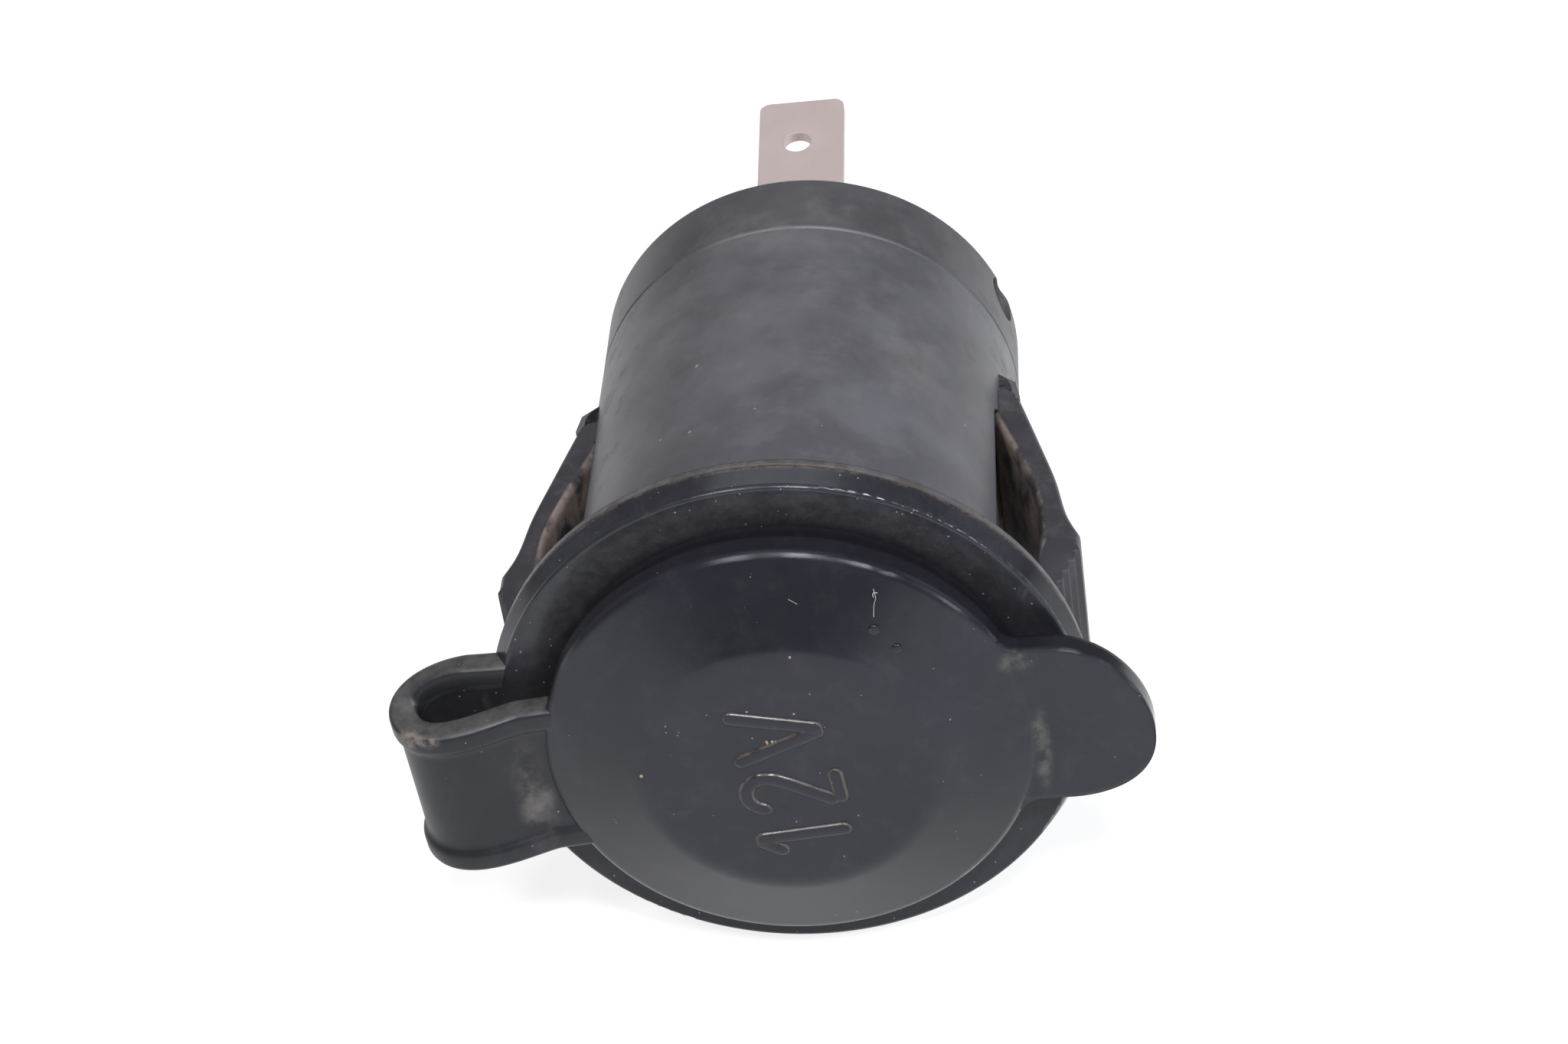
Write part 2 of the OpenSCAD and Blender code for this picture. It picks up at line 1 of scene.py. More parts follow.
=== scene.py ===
"""Looks for the 12 V power socket: materials, wear, strap, snap wings, cap mark, light and camera.

The frame is the CAD model's: the mouth faces -Y, the terminals +Y, Z is up. Sizes and places are
written in millimetres, but for those of the lamps and the floor.
"""
import math
import random

import bmesh
import bpy
import numpy as np
from mathutils import Matrix, Vector


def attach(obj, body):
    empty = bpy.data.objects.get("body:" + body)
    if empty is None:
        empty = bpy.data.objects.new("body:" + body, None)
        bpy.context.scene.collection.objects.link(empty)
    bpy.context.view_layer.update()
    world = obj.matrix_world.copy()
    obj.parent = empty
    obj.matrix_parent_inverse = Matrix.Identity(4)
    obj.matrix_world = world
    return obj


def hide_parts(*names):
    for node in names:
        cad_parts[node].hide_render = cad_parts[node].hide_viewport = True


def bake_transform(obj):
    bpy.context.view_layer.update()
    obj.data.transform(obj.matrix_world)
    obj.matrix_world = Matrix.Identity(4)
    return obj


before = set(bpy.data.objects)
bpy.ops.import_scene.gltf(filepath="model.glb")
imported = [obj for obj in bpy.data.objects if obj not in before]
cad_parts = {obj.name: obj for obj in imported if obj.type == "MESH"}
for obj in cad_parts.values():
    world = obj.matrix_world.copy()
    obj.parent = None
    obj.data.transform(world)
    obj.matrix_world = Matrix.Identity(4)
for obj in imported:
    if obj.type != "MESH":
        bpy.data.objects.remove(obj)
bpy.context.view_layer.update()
scene = bpy.context.scene
MM = 0.001

# Sizes of the CAD model
CAP_TURN = math.radians(5)
CAP_R = 15.95
CAP_EDGE = 0.6
CAP_FRONT = -5.0
CAP_T = 1.95
CROWN_Y = -7.4
CROWN_R = 8.95
CROWN_ROUND = 3.0
PLATE_T = 0.5
BEZEL_R = 19.7
BEAD_R = 0.95
BEAD_SPAN = 9.8
WEB_T = 1.2
LOOP_OUT = 5.5
STRAP_START_X = -BEZEL_R - 0.9
STRAP_END_X = -CAP_R - 0.75
STRAP_RISE = 0.6
HINGE_X, HINGE_Y = 14.4, 24.6
KNUCKLE_R = 0.9
WING_HALF = 5.6
CREST_X, CREST_Y = 19.5, 7.4
TIP_X, TIP_Y = 17.5, 2.2
RAMP_STEPS = 5
WING_EDGE = 0.7
TAB_R = 6.25
TAB_ANGLE = math.radians(3.5)
TAB_FRONT, TAB_REAR = -4.765, -3.285

# Sockets of Blender's Mix node that hold its two colours and its result
COLOUR_A, COLOUR_B, COLOUR_OUT = 6, 7, 2


# Materials
class Net:
    """A material, with short ways to write its shader nodes. Noise scales are per metre."""

    def __init__(self, name):
        self.mat = bpy.data.materials.new(name)
        self.mat.use_nodes = True
        self.tree = self.mat.node_tree
        self.tree.nodes.clear()
        out = self.tree.nodes.new("ShaderNodeOutputMaterial")
        self.bsdf = self.tree.nodes.new("ShaderNodeBsdfPrincipled")
        self.tree.links.new(self.bsdf.outputs[0], out.inputs[0])
        self.coord = self.node("TexCoord").outputs["Object"]

    def node(self, kind, inputs=None):
        """A new shader node, with a value or a link in each input that is named."""
        made = self.tree.nodes.new("ShaderNode" + kind)
        for key, value in (inputs or {}).items():
            self.put(made.inputs[key], value)
        return made

    def put(self, socket, value):
        if isinstance(value, bpy.types.NodeSocket):
            self.tree.links.new(value, socket)
        elif isinstance(value, (tuple, list)) and len(value) == 3 and socket.type == "RGBA":
            socket.default_value = (*value, 1)
        else:
            socket.default_value = value

    def math(self, op, a, b=0.0):
        made = self.node("Math", {0: a, 1: b})
        made.operation = op
        return made.outputs[0]

    def times(self, first, *others):
        """The product of masks and amounts."""
        for other in others:
            first = self.math("MULTIPLY", first, other)
        return first

    def noise(self, scale, detail, rough):
        inputs = {"Vector": self.coord, "Scale": scale, "Detail": detail, "Roughness": rough}
        return self.node("TexNoise", inputs).outputs["Fac"]

    def ramp(self, value, lo, hi, a=0.0, b=1.0):
        """Goes smoothly from a to b while the value goes from lo to hi."""
        inputs = {"Value": value, "From Min": lo, "From Max": hi, "To Min": a, "To Max": b}
        made = self.node("MapRange", inputs)
        made.interpolation_type = "SMOOTHSTEP"
        return made.outputs["Result"]

    def patches(self, scale, detail, rough, lo, hi, a=0.0, b=1.0):
        """Noise with soft-edged patches: a where it is under lo, b where it is over hi."""
        return self.ramp(self.noise(scale, detail, rough), lo, hi, a, b)

    def mix(self, share, below, above):
        made = self.tree.nodes.new("ShaderNodeMix")
        made.data_type = "RGBA"
        self.put(made.inputs["Factor"], share)
        self.put(made.inputs[COLOUR_A], below)
        self.put(made.inputs[COLOUR_B], above)
        return made.outputs[COLOUR_OUT]

    def lay(self, below, above, mask, amount=1.0):
        """Lays one colour over another where the mask says, as strongly as the amount says."""
        return self.mix(self.times(mask, amount), below, above)

    def xyz(self):
        return self.node("SeparateXYZ", {0: self.coord}).outputs

    def place(self, axis, lo, hi, a=0.0, b=1.0):
        """Goes from a to b between two places on an axis."""
        return self.ramp(self.xyz()[axis], lo * MM, hi * MM, a, b)

    def off_axis(self, lo, hi, a=0.0, b=1.0):
        """Goes from a to b between two distances from the barrel's axis."""
        axes = self.xyz()
        x2 = self.times(axes["X"], axes["X"])
        z2 = self.times(axes["Z"], axes["Z"])
        distance = self.math("SQRT", self.math("ADD", x2, z2))
        return self.ramp(distance, lo * MM, hi * MM, a, b)

    def normal(self):
        facing = self.node("TexCoord").outputs["Normal"]
        return self.node("SeparateXYZ", {0: facing}).outputs

    def specks(self, scale, size, share):
        """Small round specks: 1 inside one. share is how many of the cells hold one."""
        cells = self.node("TexVoronoi", {"Vector": self.coord, "Scale": scale}).outputs
        pick = self.node("SeparateColor", {0: cells["Color"]}).outputs
        reach = self.times(pick["Green"], size)
        inside = self.math("LESS_THAN", cells["Distance"], reach)
        chosen = self.math("LESS_THAN", pick["Red"], share)
        return self.times(inside, chosen)

    def near(self, at, radii):
        """1 in the inner third round a place, falling to 0 at the given radii along X, Y and Z."""
        away = self.node("VectorMath", {0: self.coord, 1: [c * MM for c in at]})
        away.operation = "SUBTRACT"
        shares = self.node("VectorMath", {0: away.outputs[0], 1: [1 / (c * MM) for c in radii]})
        shares.operation = "MULTIPLY"
        distance = self.node("VectorMath", {0: shares.outputs[0]})
        distance.operation = "LENGTH"
        return self.ramp(distance.outputs["Value"], 0.35, 1.0, 1.0, 0.0)

    def smear(self, col, colour, amount, spots, scale=350):
        """Lays a patchy smear of one colour over each of the given spots."""
        patchy = self.times(self.patches(scale, 5, 0.65, lo=0.35, hi=0.68), amount)
        for at, radii in spots:
            col = self.lay(col, colour, self.near(at, radii), patchy)
        return col

    def cavity(self, distance, lo, hi):
        """0 in the open, 1 in a corner that is shut in within the given distance."""
        made = self.node("AmbientOcclusion", {"Distance": distance * MM})
        made.samples = 6
        return self.ramp(self.math("SUBTRACT", 1.0, made.outputs["AO"]), lo, hi)

    def grain(self, scale, detail, rough, strength, depth, edge=0.0):
        """A fine grain of the given depth, on edges that look rounded to the given radius."""
        inputs = {"Height": self.noise(scale, detail, rough), "Strength": strength, "Distance": depth * MM}
        if edge:
            bevel = self.node("Bevel", {"Radius": edge * MM})
            bevel.samples = 4
            inputs["Normal"] = bevel.outputs[0]
        self.put(self.bsdf.inputs["Normal"], self.node("Bump", inputs).outputs[0])

    def shade(self, base, rough, specular, metallic=0.0):
        self.put(self.bsdf.inputs["Base Color"], base)
        self.put(self.bsdf.inputs["Roughness"], rough)
        self.put(self.bsdf.inputs["Specular IOR Level"], specular)
        self.put(self.bsdf.inputs["Metallic"], metallic)
        return self.mat


def scaled(colour, factor):
    return tuple(c * factor for c in colour)


# Smears on the plastic, each as a place and its reach along X, Y and Z
POCKET_DIRT = [((side * 16.0, 12.5, 2), (2.0, 10, 7)) for side in (-1, 1)]
DUSTY_SPOTS = [((12.2, 4, 9.5), (3, 6, 4)), ((14.5, 30, 3), (3, 6, 5)), ((-13, 5, 8), (3, 5, 4))]
FAINT_SPOTS = [((-1, 34, 15.3), (9, 4, 3)), ((9, 20, 12), (4, 9, 4)), ((-8, 27, 13), (4, 6, 4))]
DUST = (0.24, 0.235, 0.225)


def housing_plastic(name, base=(0.078, 0.077, 0.086), dirt=0.85, wing_side=0):
    """Dull dark plastic with haze, brown dirt in its corners and smears of dust.

    wing_side is 1 or -1 for the right or left snap wing, whose inner face is stained.
    """
    net = Net(name)
    cloud = net.patches(95, 4, 0.6, lo=0.38, hi=0.66)
    col = net.lay(scaled(base, 0.93), scaled(base, 1.7), cloud, 0.55)
    haze = net.patches(420, 5, 0.7, lo=0.45, hi=0.8)
    col = net.lay(col, (0.16, 0.155, 0.155), haze, 0.3)
    corners = net.times(net.cavity(2.2, lo=0.25, hi=0.8), net.patches(260, 4, 0.65, lo=0.38, hi=0.62))
    col = net.lay(col, (0.125, 0.088, 0.062), corners, dirt)
    if not wing_side:
        col = net.smear(col, (0.16, 0.125, 0.1), 0.85, POCKET_DIRT)
    col = net.smear(col, DUST, 0.55, DUSTY_SPOTS)
    col = net.smear(col, DUST, 0.22, FAINT_SPOTS, 220)
    # Dirt along the joint between the flange and the bezel
    joint = net.times(net.place("Y", 0, 0.6, a=1, b=0), net.off_axis(BEZEL_R - 1.1, BEZEL_R - 0.3))
    joint = net.times(joint, net.patches(900, 4, 0.7, lo=0.4, hi=0.6))
    col = net.lay(col, (0.06, 0.048, 0.04), joint, 0.7)
    if wing_side:
        facing_in = net.ramp(net.times(net.normal()["X"], -wing_side), 0.15, 0.6)
        stain = net.times(facing_in, net.patches(330, 5, 0.7, lo=0.36, hi=0.6))
        col = net.lay(col, (0.26, 0.205, 0.18), stain, 0.75)
    col = net.lay(col, (0.3, 0.29, 0.27), net.specks(900, size=0.16, share=0.1), 0.6)
    net.grain(3200, 3, 0.6, strength=0.12, depth=0.04, edge=0.22)
    return net.shade(col, net.ramp(haze, 0, 1, 0.42, 0.6), specular=0.38)


# Smears on the rubber, each as a place and its reach along X, Y and Z
RIM_FILM = [((-17.2, -4.4, -3), (1.7, 2, 6)), ((-19.6, -1.6, 3.4), (0.6, 0.8, 1.6))]
STRAP_SCUFFS = [((-24.5, -5.5, 3.6), (1.3, 1.0, 1.2)), ((-23.3, -6.1, 3.8), (1.3, 0.7, 0.9))]
TAB_FILM = [((16.2, -4.8, -1.5), (0.8, 1.2, 4.5)), ((15.2, -4.9, 5.9), (1.6, 1.2, 1.0))]


def rim_dust_and_painted_light(net, col):
    """Powder and grains of dust on the rim's face, round the cap; the powder is also painted light, laid
    thicker near the cap and at the top to lift the shade there.
    """
    outside = net.times(net.off_axis(CAP_R - 0.95, CAP_R + 0.55), net.place("Y", -3.4, -2.6))
    # Painted light as well as dust: the powder is thicker near the cap and towards the top, to lift the
    # shade there
    painted_lift_and_dust = net.times(
        outside,
        net.patches(900, 6, 0.8, lo=0.3, hi=0.8, a=0.3),
        net.place("Z", 6, 17, a=0.1, b=0.3),
        net.off_axis(BEZEL_R - 1.9, BEZEL_R - 0.2, a=1, b=0.25),
    )
    col = net.lay(col, (0.15, 0.148, 0.15), painted_lift_and_dust)
    grains = net.times(net.specks(1900, size=0.12, share=0.45), outside)
    return net.lay(col, (0.34, 0.32, 0.28), grains, 0.75)


def rubber(name, base=(0.011, 0.011, 0.0145), rough=0.18, edge=0.1, edge_dust=0.0, top_dust=0.0):
    """Satin black rubber with a film of dust, scuffs and specks, and painted light in the powder on the
    rim's face.

    edge_dust is how much dust lies on the flanks of raised forms, top_dust on faces that look up.
    """
    net = Net(name)
    cloud = net.patches(130, 3, 0.5, lo=0.35, hi=0.75)
    col = net.lay(base, scaled(base, 1.9), cloud, 0.4)
    col = net.lay(col, (0.2, 0.19, 0.185), net.patches(520, 6, 0.75, lo=0.48, hi=0.85), 0.05)
    # Dust on the rim's face round the cap, partly painted light that lifts its shade
    col = rim_dust_and_painted_light(net, col)
    col = net.smear(col, (0.17, 0.155, 0.14), 0.5, RIM_FILM)
    col = net.smear(col, (0.2, 0.165, 0.14), 0.9, STRAP_SCUFFS, 1100)
    col = net.smear(col, (0.15, 0.15, 0.125), 0.35, TAB_FILM, 900)
    crease = net.times(net.cavity(0.9, lo=0.35, hi=0.85), net.patches(700, 4, 0.7, lo=0.4, hi=0.65))
    col = net.lay(col, (0.13, 0.115, 0.1), crease, 0.3)
    # Dirt along the joint between the bezel and the flange
    joint = net.times(net.place("Y", -1.05, -0.8), net.off_axis(BEZEL_R - 0.7, BEZEL_R - 0.4))
    joint = net.times(joint, net.patches(1100, 4, 0.7, lo=0.42, hi=0.62))
    col = net.lay(col, (0.15, 0.12, 0.1), joint, 0.55)
    if top_dust:
        facing_up = net.ramp(net.normal()["Z"], 0.55, 0.95)
        above = net.times(facing_up, net.patches(800, 5, 0.7, lo=0.25, hi=0.65, a=0.35))
        col = net.lay(col, (0.16, 0.15, 0.145), above, top_dust)
    if edge_dust:
        aslant = net.ramp(net.normal()["Y"], -0.98, -0.75)
        flank = net.times(aslant, net.patches(1100, 4, 0.7, lo=0.2, hi=0.6))
        col = net.lay(col, (0.17, 0.15, 0.125), flank, edge_dust)
    col = net.lay(col, (0.28, 0.27, 0.26), net.specks(1500, size=0.09, share=0.25), 0.7)
    col = net.lay(col, (0.42, 0.42, 0.41), net.specks(620, size=0.03, share=0.16), 0.8)
    net.grain(2600, 3, 0.6, strength=0.1, depth=0.04, edge=edge)
    net.put(net.bsdf.inputs["Specular Tint"], (0.9, 0.92, 1.0))
    roughness = net.patches(300, 4, 0.6, lo=0.3, hi=0.7, a=rough - 0.04, b=rough + 0.06)
    return net.shade(col, roughness, specular=0.37)


def metal(name, base, rough, metallic=1.0):
    """Dull metal with faint darker patches."""
    net = Net(name)
    wear = net.patches(260, 5, 0.65, lo=0.3, hi=0.75)
    col = net.lay(base, scaled(base, 0.6), wear, 0.12)
    net.grain(1800, 2, 0.5, strength=0.06, depth=0.03, edge=0.08)
    return net.shade(col, net.ramp(wear, 0, 1, rough, rough + 0.14), 0.5, metallic)


def board(name):
    """Brown insulating board."""
    net = Net(name)
    col = net.mix(net.noise(900, 4, 0.7), (0.2, 0.11, 0.055), (0.3, 0.18, 0.1))
    net.grain(3000, 3, 0.6, strength=0.2, depth=0.04)
    return net.shade(col, 0.7, specular=0.3)


def matt(name, colour):
    """One matt colour, for lint and crumbs."""
    return Net(name).shade(colour, 0.8, specular=0.2)


M_HOUSING = housing_plastic("housing_plastic")
M_WING = {
    side: housing_plastic(f"wing_plastic_{tag}", (0.034, 0.033, 0.039), 0.8, side)
    for side, tag in ((1, "r"), (-1, "l"))
}
M_COVER = housing_plastic("cover_plastic", (0.057, 0.056, 0.062), 0.3)
M_RUBBER = rubber("black_rubber")
M_CAP = rubber("cap_rubber", edge=0.5)
M_STRAP = rubber("strap_rubber", base=(0.0095, 0.0095, 0.0115), rough=0.4, edge=0, top_dust=0.4)
M_MARK = rubber("mark_rubber", edge_dust=0.4)
M_SHELL = metal("plated_shell", (0.66, 0.65, 0.62), 0.28)
M_BRASS = metal("contact_brass", (0.66, 0.5, 0.24), 0.3)
M_STEEL = metal("washer_steel", (0.5, 0.5, 0.5), 0.4)
M_BLADE = metal("plated_blade", (0.62, 0.52, 0.50), 0.45, metallic=0.5)
M_BOARD = board("insulator")
M_LINT = matt("lint", (0.36, 0.355, 0.34))
M_CRUMB = matt("crumb", (0.26, 0.225, 0.16))

MATERIAL_OF = {
    "housing": M_HOUSING, "wing_left": M_WING[-1], "wing_right": M_WING[1], "rear_cover": M_COVER,
    "bezel": M_RUBBER, "cap_strap": M_RUBBER, "sealing_cap": M_CAP, "contact_shell": M_SHELL,
    "front_insulator": M_BOARD, "rear_insulator": M_BOARD, "contact_stud": M_BRASS,
    "lock_washer": M_STEEL, "positive_terminal": M_BLADE, "negative_terminal": M_BLADE,
}
for node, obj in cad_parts.items():
    obj.data.materials.clear()
    obj.data.materials.append(MATERIAL_OF[node])


# What the pieces share
def cap_frame(p):
    """A point given in the cap's own turned frame, as metres in the CAD frame."""
    x, y, z = p
    c, s = math.cos(CAP_TURN), math.sin(CAP_TURN)
    return Vector((x * c - z * s, y, x * s + z * c)) * MM


def add_object(name, data):
    """A new object in the scene that shows the given mesh, curve, lamp or camera."""
    ob = bpy.data.objects.new(name, data)
    scene.collection.objects.link(ob)
    return ob


def new_mesh(name, verts, faces, mat, smooth=True):
    """A mesh object with all its faces turned outward."""
    mesh = bpy.data.meshes.new(name)
    mesh.from_pydata([tuple(v) for v in verts], [], faces)
    draft = bmesh.new()
    draft.from_mesh(mesh)
    bmesh.ops.recalc_face_normals(draft, faces=draft.faces)
    draft.to_mesh(mesh)
    draft.free()
    mesh.materials.append(mat)
    if smooth:
        mesh.shade_smooth()
    return add_object(name, mesh)


def ring_faces(rings, n, closed=True):
    """Faces that join rings of n vertices, one ring to the next, with a face over each end."""
    sides = n if closed else n - 1
    faces = [
        (k * n + i, k * n + (i + 1) % n, (k + 1) * n + (i + 1) % n, (k + 1) * n + i)
        for k in range(rings - 1) for i in range(sides)
    ]
    last = (rings - 1) * n
    return faces + [tuple(range(n)), tuple(range(last, last + n))]


def smooth_line(pts, n):
    """A smooth curve through the points (Catmull-Rom), with n steps between each two."""
    p = [np.array(q, float) for q in [pts[0], *pts, pts[-1]]]
    out = []
    for a, b, c, d in zip(p, p[1:], p[2:], p[3:]):
        for t in np.arange(n) / n:
            out.append(0.5 * (2 * b + (c - a) * t + (2 * a - 5 * b + 4 * c - d) * t ** 2
                              + (3 * b - 3 * c + d - a) * t ** 3))
    return out + [p[-1]]


# The strap, bent into a loop from the rim to the cap, and fuller than the CAD strap by its skin
STRAP_SKIN = 0.03
RIM_CORNER = 0.42
BEZEL_MID = -PLATE_T - BEAD_R - 0.1
CAP_MID = CAP_FRONT + CAP_T / 2
REACH_X = STRAP_START_X - LOOP_OUT + 0.15
LEAN = math.sin(CAP_TURN)
# Points that steer the loop, as X, Y and Z
LOOP = [
    (STRAP_START_X, BEZEL_MID, STRAP_RISE),
    (STRAP_START_X - 0.7, BEZEL_MID, STRAP_RISE),
    (REACH_X, BEZEL_MID + 0.95, REACH_X * LEAN / 3),
    (REACH_X, BEZEL_MID - 0.15, REACH_X * LEAN),
    (REACH_X + 0.95, CAP_MID - 0.7, REACH_X * LEAN),
    (REACH_X + 1.65, CAP_MID - 3.75, REACH_X * LEAN),
    (STRAP_END_X - 2.0, CAP_MID, (STRAP_END_X - 2.0) * LEAN),
    (STRAP_END_X, CAP_MID, STRAP_END_X * LEAN),
]
# The share of the loop that bends; the rest rides on the cap
SPLIT = 0.78


def strap_section():
    """The strap's closed outline as (across, off its middle): a web with a flat-topped rim on each edge."""
    face = WEB_T / 2 + STRAP_SKIN
    rim = BEAD_R + STRAP_SKIN
    top = BEAD_SPAN / 2 + rim
    arc = [
        (top - RIM_CORNER + RIM_CORNER * math.cos(a), rim - RIM_CORNER + RIM_CORNER * math.sin(a))
        for a in np.linspace(0, math.pi / 2, 6)
    ]
    inner = BEAD_SPAN / 2 - BEAD_R
    step = [
        (inner + 0.75, rim), (inner + 0.55, rim - 0.05), (inner + 0.35, rim - 0.18),
        (inner + 0.2, rim - 0.28), (inner, face + 0.01), (inner - 0.3, face),
    ]
    web = [((inner - 0.3) * f, face) for f in (0.66, 0.33)]
    right = [(top, 0.0)] + arc + step + web
    upper = right + [(0.0, face)] + [(-x, y) for x, y in reversed(right)]
    return upper + [(x, -y) for x, y in reversed(upper[1:-1])]


SECTION = strap_section()


def bezier(pts, t):
    """The point at t, from 0 to 1, on the curve that the points steer."""
    pts = [np.array(p, float) for p in pts]
    while len(pts) > 1:
        pts = [a * (1 - t) + b * t for a, b in zip(pts, pts[1:])]
    return pts[0]


def strap_rings(t0, t1, n):
    """Rings of the strap along its loop, from t0 to t1, turning with the cap as they near it."""
    dt = 1e-4
    rings = []
    for t in np.linspace(t0, t1, n):
        x, y, z = bezier(LOOP, t)
        x += t * (STRAP_END_X * math.cos(CAP_TURN) - STRAP_END_X)
        d = (bezier(LOOP, min(t + dt, 1.0)) - bezier(LOOP, max(t - dt, 0.0)))[:2]
        d = d / np.linalg.norm(d)
        sin, cos = math.sin(CAP_TURN * t), math.cos(CAP_TURN * t)
        rings.append([
            Vector((x - off * d[1] - across * sin, y + off * d[0], z + across * cos)) * MM
            for across, off in SECTION
        ])
    return rings


def bezel_root():
    """The strap's end just inside the rim's wall."""
    edge = BEZEL_R - 0.75
    ring = []
    for across, off in SECTION:
        z = STRAP_RISE + across
        ring.append(Vector((-math.sqrt(edge ** 2 - z ** 2), BEZEL_MID - off, z)) * MM)
    return ring


def cap_root():
    """The strap's end just inside the cap's wall."""
    edge = CAP_R - 0.95
    return [
        cap_frame((-math.sqrt(edge ** 2 - across ** 2), CAP_MID + off, across))
        for across, off in SECTION
    ]


def sweep(name, rings, mat):
    """A solid bar through rings that all have the same number of vertices."""
    n = len(rings[0])
    ob = new_mesh(name, [v for ring in rings for v in ring], ring_faces(len(rings), n), mat)
    # The end faces meet the next piece, so their edges don't bend the shading of the sides
    last = (len(rings) - 1) * n
    for e in ob.data.edges:
        a, b = e.vertices
        e.use_edge_sharp = (a < n and b < n) or (a >= last and b >= last)
    return ob


strap_loop = sweep("strap_loop", [bezel_root()] + strap_rings(0, SPLIT, 66), M_STRAP)
strap_front = sweep("strap_front", strap_rings(SPLIT, 1, 26) + [cap_root()], M_STRAP)
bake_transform(strap_loop)
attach(strap_front, "cap")
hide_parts("cap_strap")
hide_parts("cap_strap")


# The snap wings, worn round at their edges
ROUND_MIN, ROUND_MAX = 0.05, 0.5
# The share of the leaf's thickness that the rounding of one edge may take
ROUND_SHARE = 0.24
ROUND_SLICES = 6
SHARP_FROM = math.radians(50)


def wing_outline():
    """The right wing from its boss to its tip and back, in X and Y."""
    root = HINGE_X + KNUCKLE_R + 0.45
    heel = root + 1.0
    run = HINGE_Y - CREST_Y
    outer = smooth_line([
        (root - 1.9, HINGE_Y + 3.4), (root - 0.5, HINGE_Y + 1.85), (root + 0.1, HINGE_Y - 0.3),
        (root + 1.4, HINGE_Y - 0.33 * run), (root + 2.3, HINGE_Y - 0.56 * run),
        (root + 2.9, HINGE_Y - 0.78 * run), (CREST_X, CREST_Y + 1.2),
    ], 5)
    step_x, step_y = (CREST_X - TIP_X) / RAMP_STEPS, (CREST_Y - TIP_Y) / RAMP_STEPS
    # Each step, in shares of its size, runs along the leaf and then cuts in under its end
    ramp = [
        (CREST_X - (i + f) * step_x, CREST_Y - (i + g) * step_y)
        for i in range(RAMP_STEPS) for f, g in ((0, 0), (0.1, 0.78), (1.2, 0.9))
    ]
    inner = smooth_line([
        (heel + 0.5, TIP_Y), (heel, TIP_Y + 1.9), (heel + 0.1, HINGE_Y - 0.82 * run),
        (heel - 0.1, HINGE_Y - 0.66 * run), (heel - 0.95, HINGE_Y - 0.46 * run),
        (root - 1.8, HINGE_Y - 0.12 * run), (root - 2.1, HINGE_Y + 0.2), (root - 2.5, HINGE_Y + 2.0),
    ], 5)
    return outer + ramp + [(TIP_X, TIP_Y)] + inner


def inward_turns(line):
    """A unit vector at each point of a closed outline that points into it."""
    area_sign = sum(p[0] * q[1] - q[0] * p[1] for p, q in zip(line, line[1:] + line[:1]))
    turns = []
    for before, after in zip(line[-1:] + line[:-1], line[1:] + line[:1]):
        along = (after - before) / np.linalg.norm(after - before)
        turn = np.array([-along[1], along[0]])
        turns.append(turn if area_sign > 0 else -turn)
    return turns


def edge_rounding(line, inward):
    """How far the edge is rounded at each point of the wing's outline.

    It goes as far as the leaf's thickness lets it, and hardly at all on the fine steps and in the root.
    """
    rounding = []
    for p, v in zip(line, inward):
        room = min(np.linalg.norm(q - p) for q, w in zip(line, inward) if v @ w < -0.3)
        fade = min(max((HINGE_Y + 3.0 - p[1]) / 2.5, 0), 1)
        worn = min(ROUND_SHARE * room, ROUND_MAX) * fade
        on_steps = p[1] < CREST_Y - 0.4 and p[0] > TIP_X - 0.8
        rounding.append(ROUND_MIN if on_steps else max(worn, ROUND_MIN))
    return rounding


def wing_skin(side, node):
    """The whole snap wing with its root, which bends between the barrel and the leaf."""
    line = [np.array(p, float) for p in wing_outline()]
    inward = inward_turns(line)
    rounding = edge_rounding(line, inward)
    slices = []
    for sign in (-1, 1):
        for angle in np.linspace(0, math.pi / 2, ROUND_SLICES)[::sign]:
            z = sign * (WING_HALF - WING_EDGE * (1 - math.sin(angle)))
            slices.append((z, 1 - math.cos(angle)))
    verts = [
        Vector((side * (p[0] + v[0] * r * inset), p[1] + v[1] * r * inset, z)) * MM
        for z, inset in slices for p, v, r in zip(line, inward, rounding)
    ]
    ob = new_mesh(node + "_skin", verts, ring_faces(len(slices), len(line)), M_WING[side])
    ob.data.set_sharp_from_angle(angle=SHARP_FROM)
    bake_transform(ob)
    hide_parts(node)


wing_skin(1, "wing_right")
wing_skin(-1, "wing_left")


# The small fillets between the cap's edge and the pull tab
FILLET_R = 1.5
# How deep the fillets reach into the tab and the cap
FILLET_LAP = 0.6


def tab_frame(x, y, z):
    """A point in the pull tab's own frame, as metres in the CAD frame."""
    c, s = math.cos(TAB_ANGLE), math.sin(TAB_ANGLE)
    return cap_frame((x * c + z * s, y, -x * s + z * c))


def tab_fillets():
    """Both fillets as one piece, each an arc that touches the cap's edge and the tab's side."""
    cz = TAB_R + FILLET_R
    cx = math.sqrt((CAP_R + FILLET_R) ** 2 - cz ** 2)
    start = math.atan2(-cz, -cx)
    arc = [
        (cx + FILLET_R * math.cos(a), cz + FILLET_R * math.sin(a))
        for a in np.linspace(start, -math.pi / 2, 9)
    ]
    cap_x, cap_z = arc[0]
    tab_x = arc[-1][0]
    in_tab = TAB_R - FILLET_LAP
    line = arc + [(tab_x, in_tab), (cap_x - 0.5, in_tab), (cap_x - FILLET_LAP, cap_z - 0.3)]
    n = len(line)
    verts, faces = [], []
    for side in (1, -1):
        k = len(verts)
        verts += [tab_frame(x, y, side * z) for y in (TAB_FRONT, TAB_REAR) for x, z in line]
        faces += [tuple(k + i for i in face) for face in ring_faces(2, n)]
    ob = new_mesh("tab_fillets", verts, faces, M_CAP, smooth=False)
    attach(ob, "cap")


tab_fillets()


# The cap's face: a flat crown, its rounding, and a slope down to the cap's edge
CAP_TILT = math.asin((CROWN_ROUND - CAP_EDGE) / (CAP_R - CAP_EDGE - CROWN_R))


